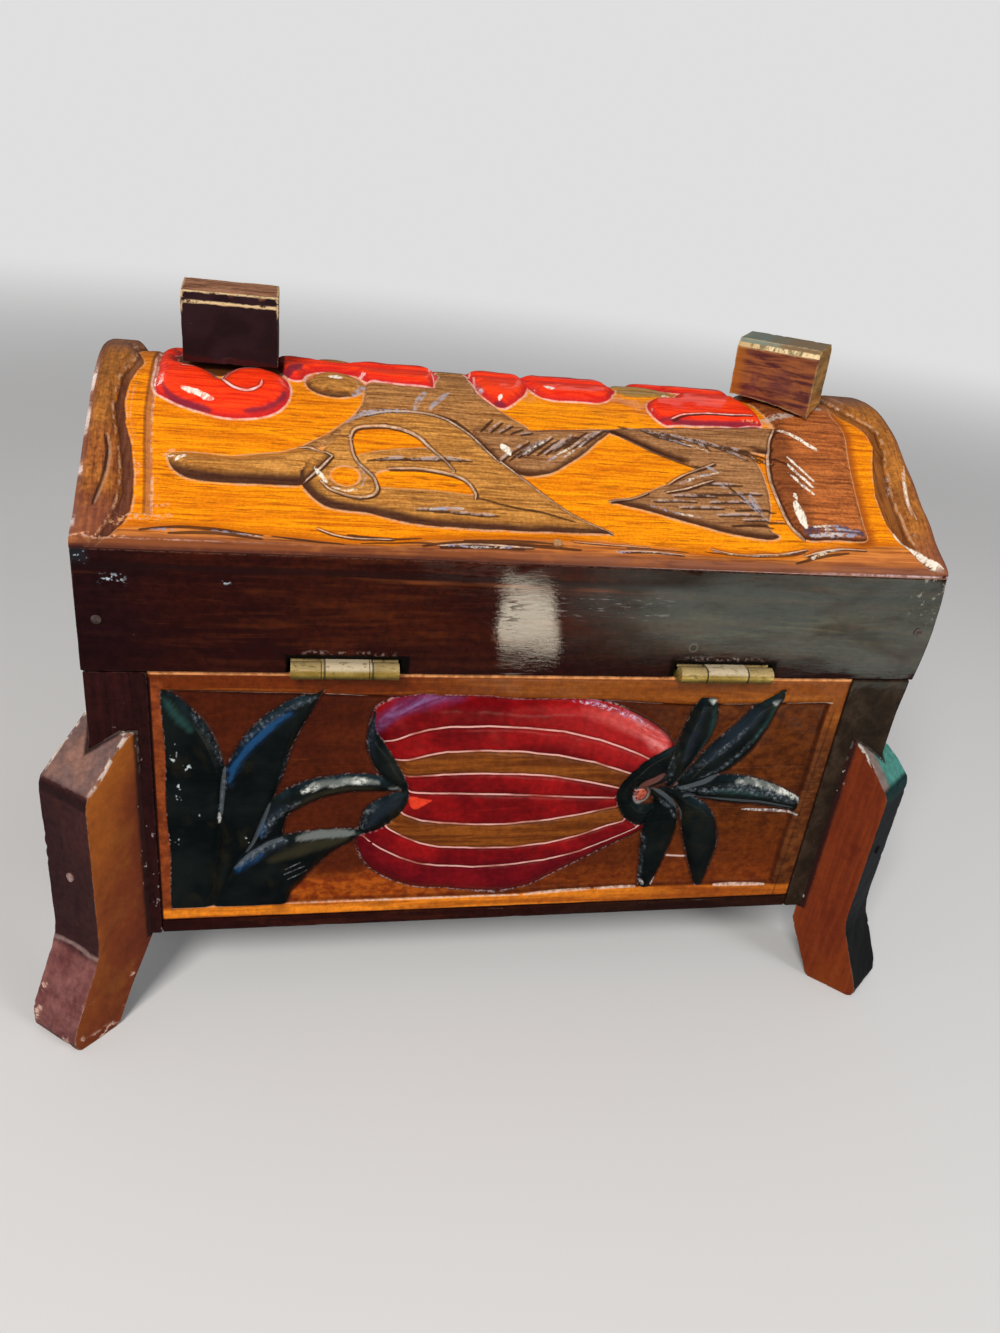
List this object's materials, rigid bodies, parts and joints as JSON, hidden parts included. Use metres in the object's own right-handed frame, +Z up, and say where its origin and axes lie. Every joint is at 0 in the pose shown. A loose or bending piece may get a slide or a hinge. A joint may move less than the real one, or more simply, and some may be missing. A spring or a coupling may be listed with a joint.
{
  "type": "wooden trunk",
  "caption": "Small domed-lid wooden trunk with carved and stained panels, splayed corner feet, square blocks on the crown and a lid that swings open on brass butt hinges.",
  "frame": {"origin": "on the ground at the middle of the trunk's footprint (centre of the bounding box's bottom)", "axes": "+Z up; +X to the right seen from the front; the opening side (front) faces -Y and the hinges are on the +Y side"},
  "size_m": [0.2463, 0.1548, 0.1819],
  "materials": {
    "carved_panel": "stained, painted and gloss varnished carving",
    "carved_top": "stained, painted and gloss varnished carving",
    "dark_wood": "dark stain, gloss varnish",
    "foot_wood": "orange-brown stain, gloss varnish",
    "block_wood": "dark stain, gloss varnish",
    "hinge_brass": "satin, worn",
    "nail_steel": "dull, varnished over"
  },
  "bodies": {
    "body": {"back_board": "carved_panel", "front_board": "carved_panel", "left_end_board": "dark_wood", "right_end_board": "dark_wood", "bottom_board": "dark_wood", "foot_back_left": "foot_wood", "foot_back_right": "foot_wood", "foot_front_left": "foot_wood", "foot_front_right": "foot_wood", "body_nails": "nail_steel", "foot_nails": "nail_steel", "hinge_left_body_leaf": "hinge_brass", "hinge_right_body_leaf": "hinge_brass", "hinge_left_pin": "hinge_brass", "hinge_right_pin": "hinge_brass", "body_leaf_screws": "hinge_brass"},
    "lid": {"lid_top": "carved_top", "lid_back_rail": "dark_wood", "lid_front_rail": "dark_wood", "lid_left_end": "dark_wood", "lid_right_end": "dark_wood", "lid_block_left": "block_wood", "lid_block_right": "block_wood", "hinge_left_lid_leaf": "hinge_brass", "hinge_right_lid_leaf": "hinge_brass", "lid_leaf_screws": "hinge_brass", "lid_nails": "nail_steel"}
  },
  "joints": [
    {"name": "lid_hinge", "type": "hinge", "parent": "body", "child": "lid", "pos_m": [0, 0.0617, 0.1041], "axis": [-1, 0, 0], "range_deg": [0, 165]}
  ]
}
